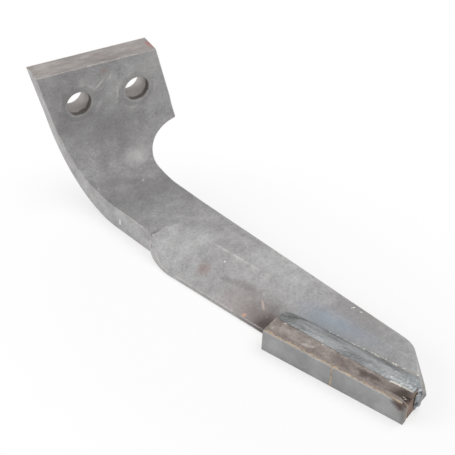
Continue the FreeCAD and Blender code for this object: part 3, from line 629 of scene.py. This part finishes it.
# %% Finishes on the CAD pieces
for node_name, finish in (("tine_body", scale_material), ("tip_bar", bar_material),
                          ("carbide_tile_inner", carbide_material), ("carbide_tile_outer", carbide_material),
                          ("braze_seam", braze_material), ("tip_weld", weld_material)):
    piece = frame["nodes"][node_name]
    piece.data.materials.clear()
    piece.data.materials.append(finish)
    print(node_name, "is finished in", finish.name)

# %% [markdown]
# ## The weld bead
#
# A weld is laid in small pushes of the torch, and each push freezes as a crescent. The CAD piece has
# the bead's body. A copy of it is cut into small even faces, and a Geometry Nodes tree lifts and
# lowers them by a wave that runs along the seam and bows in the middle, as the crescents do. A tree
# is used because the ripples follow a rule, and its pitch and height stay easy to change.

# %% Weld ripples: the node tree
def group_inputs(tree, sockets):
    """Gives a Geometry Nodes tree its named inputs and its one output."""
    tree.interface.new_socket("Geometry", in_out="INPUT", socket_type="NodeSocketGeometry")
    for name, kind, value in sockets:
        socket = tree.interface.new_socket(name, in_out="INPUT", socket_type=kind)
        if value is not None:
            socket.default_value = value
    tree.interface.new_socket("Geometry", in_out="OUTPUT", socket_type="NodeSocketGeometry")
    return add(tree, "NodeGroupInput")


def grow(name, source_mesh, tree, values, before=None):
    """Runs a tree on a copy of a mesh and gives back a plain mesh object with no modifier."""
    seed_object = bpy.data.objects.new(name + "_seed", source_mesh)
    bpy.context.scene.collection.objects.link(seed_object)
    for kind, settings in before or ():
        modifier = seed_object.modifiers.new(kind.lower(), kind)
        for key, value in settings.items():
            setattr(modifier, key, value)
    modifier = seed_object.modifiers.new("tree", "NODES")
    modifier.node_group = tree
    for item in tree.interface.items_tree:
        if item.in_out == "INPUT" and item.name in values:
            modifier[item.identifier] = values[item.name]
    bpy.context.view_layer.update()
    graph = bpy.context.evaluated_depsgraph_get()
    mesh = bpy.data.meshes.new_from_object(seed_object.evaluated_get(graph))
    mesh.name = name
    bpy.data.objects.remove(seed_object)
    piece = bpy.data.objects.new(name, mesh)
    bpy.context.scene.collection.objects.link(piece)
    return piece


ripple_tree = bpy.data.node_groups.new("weld ripples", "GeometryNodeTree")
given = group_inputs(ripple_tree, (("Pitch", "NodeSocketFloat", 2.2 * mm), ("Height", "NodeSocketFloat", 0.25 * mm),
                                   ("Material", "NodeSocketMaterial", None)))
spot = add(ripple_tree, "GeometryNodeInputPosition")
along = add(ripple_tree, "ShaderNodeVectorMath", {"operation": "DOT_PRODUCT", 1: tip_along}, {0: spot.outputs[0]})
corner = add(ripple_tree, "ShaderNodeVectorMath", {"operation": "SUBTRACT", 1: [c * mm for c in tip_corner]},
             {0: spot.outputs[0]})
across = add(ripple_tree, "ShaderNodeVectorMath", {"operation": "DOT_PRODUCT", 1: tip_inward}, {0: corner.outputs[0]})
off_centre = add(ripple_tree, "ShaderNodeMath", {"operation": "SUBTRACT", 1: 19 * mm}, {0: across.outputs["Value"]})
bow = add(ripple_tree, "ShaderNodeMath", {"operation": "MULTIPLY"}, {0: off_centre.outputs[0], 1: off_centre.outputs[0]})
bowed = add(ripple_tree, "ShaderNodeMath", {"operation": "MULTIPLY_ADD", 1: 70.0},
            {0: bow.outputs[0], 2: along.outputs["Value"]})
turns = add(ripple_tree, "ShaderNodeMath", {"operation": "DIVIDE"}, {0: bowed.outputs[0], 1: given.outputs["Pitch"]})
unsteady = add(ripple_tree, "ShaderNodeTexNoise", {"Scale": grain(9), "Detail": 2.0})
hand = add(ripple_tree, "ShaderNodeMath", {"operation": "MULTIPLY_ADD", 1: 2.5}, {0: unsteady.outputs[0], 2: turns.outputs[0]})
angle = add(ripple_tree, "ShaderNodeMath", {"operation": "MULTIPLY", 1: 2 * math.pi}, {0: hand.outputs[0]})
wave = add(ripple_tree, "ShaderNodeMath", {"operation": "SINE"}, {0: angle.outputs[0]})
lift = add(ripple_tree, "ShaderNodeMath", {"operation": "MULTIPLY"}, {0: wave.outputs[0], 1: given.outputs["Height"]})
outward = add(ripple_tree, "GeometryNodeInputNormal")
offset = add(ripple_tree, "ShaderNodeVectorMath", {"operation": "SCALE"},
             {0: outward.outputs[0], "Scale": lift.outputs[0]})
moved = add(ripple_tree, "GeometryNodeSetPosition", None, {"Geometry": given.outputs["Geometry"], "Offset": offset.outputs[0]})
soft = add(ripple_tree, "GeometryNodeSetShadeSmooth", None, {0: moved.outputs[0]})
real = add(ripple_tree, "GeometryNodeRealizeInstances", None, {0: soft.outputs[0]})
coated = add(ripple_tree, "GeometryNodeSetMaterial", None, {"Geometry": real.outputs[0], "Material": given.outputs["Material"]})
add(ripple_tree, "NodeGroupOutput", None, {0: coated.outputs[0]})
print("ripple tree:", len(ripple_tree.nodes), "nodes")

# %% Weld ripples: the bead
weld_copy = frame["nodes"]["tip_weld"].data.copy()
weld_copy.materials.clear()
weld_bead = grow("weld_bead", weld_copy, ripple_tree, {"Pitch": 2.4 * mm, "Height": 0.07 * mm, "Material": weld_material},
                 before=(("WELD", {"merge_threshold": 0.01 * mm}),
                         ("REMESH", {"mode": "VOXEL", "voxel_size": 0.5 * mm}),
                         ("SMOOTH", {"factor": 0.5, "iterations": 3})))
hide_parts("tip_weld")
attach(weld_bead, "root")
print("weld bead has", len(weld_bead.data.polygons), "faces")

# %% [markdown]
# ## The bar's crust
#
# The bar was sawn from stock and then burnt: its skin is uneven and its edges are no longer sharp.
# The same recipe does for it. A copy is cut into small even faces, and a tree pushes them inwards by
# noise, never outwards, so the bar stays inside the size that the CAD model gives it.

# %% Bar crust: the node tree and the bar
crust_tree = bpy.data.node_groups.new("burnt crust", "GeometryNodeTree")
given = group_inputs(crust_tree, (("Lump size", "NodeSocketFloat", 5 * mm), ("Depth", "NodeSocketFloat", 0.3 * mm),
                                  ("Material", "NodeSocketMaterial", None)))
lump_scale = add(crust_tree, "ShaderNodeMath", {"operation": "DIVIDE", 0: 1.0}, {1: given.outputs["Lump size"]})
lump_noise = add(crust_tree, "ShaderNodeTexNoise", {"Detail": 3.0, "Roughness": 0.6}, {"Scale": lump_scale.outputs[0]})
sunk = add(crust_tree, "ShaderNodeMath", {"operation": "MULTIPLY"}, {0: lump_noise.outputs[0], 1: given.outputs["Depth"]})
inward = add(crust_tree, "ShaderNodeMath", {"operation": "MULTIPLY", 1: -1.0}, {0: sunk.outputs[0]})
outward = add(crust_tree, "GeometryNodeInputNormal")
offset = add(crust_tree, "ShaderNodeVectorMath", {"operation": "SCALE"}, {0: outward.outputs[0], "Scale": inward.outputs[0]})
moved = add(crust_tree, "GeometryNodeSetPosition", None, {"Geometry": given.outputs["Geometry"], "Offset": offset.outputs[0]})
soft = add(crust_tree, "GeometryNodeSetShadeSmooth", None, {0: moved.outputs[0]})
real = add(crust_tree, "GeometryNodeRealizeInstances", None, {0: soft.outputs[0]})
coated = add(crust_tree, "GeometryNodeSetMaterial", None, {"Geometry": real.outputs[0], "Material": given.outputs["Material"]})
add(crust_tree, "NodeGroupOutput", None, {0: coated.outputs[0]})

bar_copy = frame["nodes"]["tip_bar"].data.copy()
bar_copy.materials.clear()
burnt_bar = grow("burnt_bar", bar_copy, crust_tree, {"Lump size": 6 * mm, "Depth": 0.45 * mm, "Material": bar_material},
                 before=(("WELD", {"merge_threshold": 0.01 * mm}),
                         ("REMESH", {"mode": "VOXEL", "voxel_size": 0.5 * mm}),
                         ("SMOOTH", {"factor": 0.5, "iterations": 2})))
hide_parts("tip_bar")
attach(burnt_bar, "root")
print("bar crust has", len(burnt_bar.data.polygons), "faces")

# %% [markdown]
# ## Slag beads
#
# Slag stays where the weld ends: a dotted pale line along its toe, a lip at the end of the run, and
# a few drops that flew off. Each is a row of small beads. One tree threads beads on any path, with
# their spacing, size and scatter as inputs, so the rows are only paths. The beads are dropped on the
# part from above, because a bead that floats or sinks gives the trick away.

# %% Slag beads: the node tree
bead_tree = bpy.data.node_groups.new("beads on a path", "GeometryNodeTree")
given = group_inputs(bead_tree, (("Spacing", "NodeSocketFloat", 1 * mm), ("Radius", "NodeSocketFloat", 0.4 * mm),
                                 ("Scatter", "NodeSocketFloat", 0.3 * mm), ("Missing share", "NodeSocketFloat", 0.3),
                                 ("Seed", "NodeSocketInt", 1), ("Material", "NodeSocketMaterial", None)))
thread = add(bead_tree, "GeometryNodeMeshToCurve", None, {0: given.outputs["Geometry"]})
stations = add(bead_tree, "GeometryNodeCurveToPoints", {"mode": "LENGTH"},
               {"Curve": thread.outputs[0], "Length": given.outputs["Spacing"]})
step_off = add(bead_tree, "FunctionNodeRandomValue", {"data_type": "FLOAT_VECTOR", 0: (-1, -1, -0.3), 1: (1, 1, 0.1)},
               {"Seed": given.outputs["Seed"]})
scattered = add(bead_tree, "ShaderNodeVectorMath", {"operation": "SCALE"},
                {0: step_off.outputs[0], "Scale": given.outputs["Scatter"]})
strewn = add(bead_tree, "GeometryNodeSetPosition", None, {"Geometry": stations.outputs[0], "Offset": scattered.outputs[0]})
clump = add(bead_tree, "ShaderNodeTexNoise", {"Scale": grain(6), "Detail": 1.0})
gone = add(bead_tree, "FunctionNodeCompare", {"data_type": "FLOAT", "operation": "LESS_THAN"},
           {0: clump.outputs[0], 1: given.outputs["Missing share"]})
kept = add(bead_tree, "GeometryNodeDeleteGeometry", {"domain": "POINT"}, {0: strewn.outputs[0], 1: gone.outputs[0]})
drop = add(bead_tree, "GeometryNodeMeshIcoSphere", {"Subdivisions": 2}, {"Radius": given.outputs["Radius"]})
size = add(bead_tree, "FunctionNodeRandomValue", {"data_type": "FLOAT_VECTOR", 0: (0.6, 0.5, 0.35), 1: (1.8, 1.1, 0.8)},
           {"Seed": given.outputs["Seed"]})
turn = add(bead_tree, "FunctionNodeRandomValue", {"data_type": "FLOAT_VECTOR", 0: (0, 0, -1.2), 1: (0.3, 0.3, 0.2)},
           {"Seed": given.outputs["Seed"]})
beads = add(bead_tree, "GeometryNodeInstanceOnPoints", None,
            {"Points": kept.outputs[0], "Instance": drop.outputs[0], "Rotation": turn.outputs[0], "Scale": size.outputs[0]})
real = add(bead_tree, "GeometryNodeRealizeInstances", None, {0: beads.outputs[0]})
soft = add(bead_tree, "GeometryNodeSetShadeSmooth", None, {0: real.outputs[0]})
coated = add(bead_tree, "GeometryNodeSetMaterial", None, {"Geometry": soft.outputs[0], "Material": given.outputs["Material"]})
add(bead_tree, "NodeGroupOutput", None, {0: coated.outputs[0]})
print("bead tree:", len(bead_tree.nodes), "nodes")

# %% Slag beads: paths that lie on the part
def on_tip(along, inward):
    """A point over the tip, in metres, from millimetres along it and inward from its face."""
    return Vector([(tip_corner[k] + tip_along[k] * along + tip_inward[k] * inward) * mm for k in (0, 1)] + [0.0])


def landed(points, sink=0.0):
    """Drops points from above on the part, and gives back the places where they land."""
    trees = [BVHTree.FromPolygons([v.co for v in o.data.vertices], [p.vertices for p in o.data.polygons])
             for o in (tine, weld_bead, burnt_bar)]
    places = []
    for point in points:
        hits = [t.ray_cast(Vector((point.x, point.y, 0.1)), Vector((0, 0, -1)))[0] for t in trees]
        heights = [hit.z for hit in hits if hit is not None]
        places.append(Vector((point.x, point.y, max(heights) - sink)))
    return places


def bead_row(name, paths, **values):
    """Slag beads along paths that have been dropped on the part, as one piece."""
    points = [point for path in paths for point in path]
    edges = []
    first = 0
    for path in paths:
        edges += [(first + k, first + k + 1) for k in range(len(path) - 1)]
        first += len(path)
    thread_mesh = bpy.data.meshes.new(name + "_path")
    thread_mesh.from_pydata(points, edges, [])
    row = grow(name, thread_mesh, bead_tree, {key.replace("_", " ").capitalize(): value for key, value in values.items()})
    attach(row, "root")
    print(name, "has", len(row.data.polygons), "faces")
    return row


def over_part(corners, sink=0.1 * mm):
    """Lands a path that is given by millimetres along X and Y."""
    return landed([Vector((x * mm, y * mm, 0)) for x, y in corners], sink)


toe = landed([on_tip(run, 26.6) for run in range(6, 95, 2)])
bead_row("toe_slag", [toe], spacing=0.7 * mm, radius=0.48 * mm, scatter=0.3 * mm, missing_share=0.3, seed=3,
         material=slag_material)
lip = landed([on_tip(run, 10.6 + 0.02 * (run - 78)) for run in range(78, 94)], 0.1 * mm)
bead_row("end_lip", [lip], spacing=0.5 * mm, radius=0.6 * mm, scatter=0.35 * mm, missing_share=0.3, seed=5,
         material=slag_material)
side = landed([on_tip(run, 13.0 - 0.035 * run) for run in range(10, 78, 2)], 0.15 * mm)
bead_row("bar_side_slag", [side], spacing=0.7 * mm, radius=0.34 * mm, scatter=0.4 * mm, missing_share=0.55, seed=8,
         material=slag_material)

# %% Slag beads: drops that flew off, and flux left on the bar
drops = ((66.8, -208.8, 1.4), (69.5, -214.0, 0.4), (24.6, -201.5, 0.8), (35.0, -226.0, 0.4), (22.0, -135.2, 0.3),
         (44.3, -175.8, 0.5), (40.0, -132.3, 0.3))
bead_row("weld_spatter", [over_part(((x, y), (x + length, y))) for x, y, length in drops], spacing=0.3 * mm,
         radius=0.62 * mm, scatter=0.2 * mm, missing_share=0.0, seed=7, material=slag_material)
flux_paths = (((24.2, -220.2), (26.5, -222.3), (29.2, -224.6)),
              ((35.9, -227.0), (36.6, -229.5), (36.8, -232.6)),
              ((53.9, -278.6), (52.6, -280.0), (53.6, -281.2), (51.9, -280.6)))
bead_row("flux_crumbs", [over_part(corners) for corners in flux_paths], spacing=0.8 * mm, radius=0.36 * mm,
         scatter=0.5 * mm, missing_share=0.3, seed=11, material=slag_material)

# %% [markdown]
# ## The floor and the light
#
# The part was photographed on white, in soft light from above, and its shadow is faint. The floor is
# white by its colour. The camera and shiny metal see part of it as plain white, so the shadow stays
# but is pale. The lamps are large, as a studio's are, and of plain strength.

# %% Floor
floor_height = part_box("tine_body")[0].z
floor_mesh = bpy.data.meshes.new("floor")
reach = 6.0
floor_mesh.from_pydata([(-reach, -reach, floor_height), (reach, -reach, floor_height),
                        (reach, reach, floor_height), (-reach, reach, floor_height)], [], [(0, 1, 2, 3)])
floor = bpy.data.objects.new("floor", floor_mesh)
bpy.context.scene.collection.objects.link(floor)
floor_material = bpy.data.materials.new("white studio floor")
floor_material.use_nodes = True
tree = floor_material.node_tree
tree.nodes.clear()
seen = add(tree, "ShaderNodeLightPath")
camera_or_glossy = add(tree, "ShaderNodeMath", {"operation": "MAXIMUM"},
                       {0: seen.outputs["Is Camera Ray"], 1: seen.outputs["Is Glossy Ray"]})
any_view = add(tree, "ShaderNodeMath", {"operation": "MAXIMUM"},
               {0: camera_or_glossy.outputs[0], 1: seen.outputs["Is Transmission Ray"]})
round_part = add(tree, "ShaderNodeMapping", {"vector_type": "TEXTURE", "Location": (0.03, -0.19, 0), "Scale": (0.13, 0.2, 1),
                                             "Rotation": (0, 0, math.radians(24.5))},
                 {"Vector": add(tree, "ShaderNodeTexCoord").outputs["Object"]})
from_part = add(tree, "ShaderNodeVectorMath", {"operation": "LENGTH"}, {0: round_part.outputs[0]})
far_out = add(tree, "ShaderNodeMapRange", {"interpolation_type": "SMOOTHSTEP", "From Min": 0.6, "From Max": 1.25,
                                           "To Min": 0.6, "To Max": 1.0}, {"Value": from_part.outputs["Value"]})
lit_share = add(tree, "ShaderNodeMath", {"operation": "MULTIPLY"}, {0: any_view.outputs[0], 1: far_out.outputs[0]})
matt = add(tree, "ShaderNodeBsdfDiffuse", {"Color": hex_colour("#fbfbfb")})
plain_white = add(tree, "ShaderNodeEmission", {"Color": (1, 1, 1, 1), "Strength": 1.0})
both = add(tree, "ShaderNodeMixShader", None, {0: lit_share.outputs[0], 1: matt.outputs[0], 2: plain_white.outputs[0]})
add(tree, "ShaderNodeOutputMaterial", None, {"Surface": both.outputs[0]})
floor_mesh.materials.append(floor_material)
print("floor lies at", round(floor_height, 4), "m")

# %% World and lamps
world = bpy.data.worlds.new("studio")
world.use_nodes = True
bpy.context.scene.world = world
tree = world.node_tree
tree.nodes.clear()
seen = add(tree, "ShaderNodeLightPath")
camera_or_glossy = add(tree, "ShaderNodeMath", {"operation": "MAXIMUM"},
                       {0: seen.outputs["Is Camera Ray"], 1: seen.outputs["Is Glossy Ray"]})
any_view = add(tree, "ShaderNodeMath", {"operation": "MAXIMUM"},
               {0: camera_or_glossy.outputs[0], 1: seen.outputs["Is Transmission Ray"]})
room = add(tree, "ShaderNodeBackground", {"Color": (1, 1, 1, 1), "Strength": 0.42})
white = add(tree, "ShaderNodeBackground", {"Color": (1, 1, 1, 1), "Strength": 1.0})
either = add(tree, "ShaderNodeMixShader", None, {0: any_view.outputs[0], 1: room.outputs[0], 2: white.outputs[0]})
add(tree, "ShaderNodeOutputWorld", None, {"Surface": either.outputs[0]})

lamps = (
    ("lamp_above", (0.5, -0.4, 1.4), 1.2, 13.0),
    ("lamp_left", (-1.1, 0.3, 0.5), 1.0, 7.0),
)
for lamp_name, lamp_place, lamp_side, lamp_watts in lamps:
    lamp_data = bpy.data.lights.new(lamp_name, "AREA")
    lamp_data.size = lamp_side
    lamp_data.energy = lamp_watts
    lamp = bpy.data.objects.new(lamp_name, lamp_data)
    bpy.context.scene.collection.objects.link(lamp)
    lamp.location = lamp_place
    lamp.rotation_euler = (Vector((0.0, -0.14, -0.05)) - Vector(lamp_place)).to_track_quat("-Z", "Y").to_euler()
    print(lamp_name, lamp_watts, "W")
bpy.context.scene.view_settings.view_transform = "Standard"
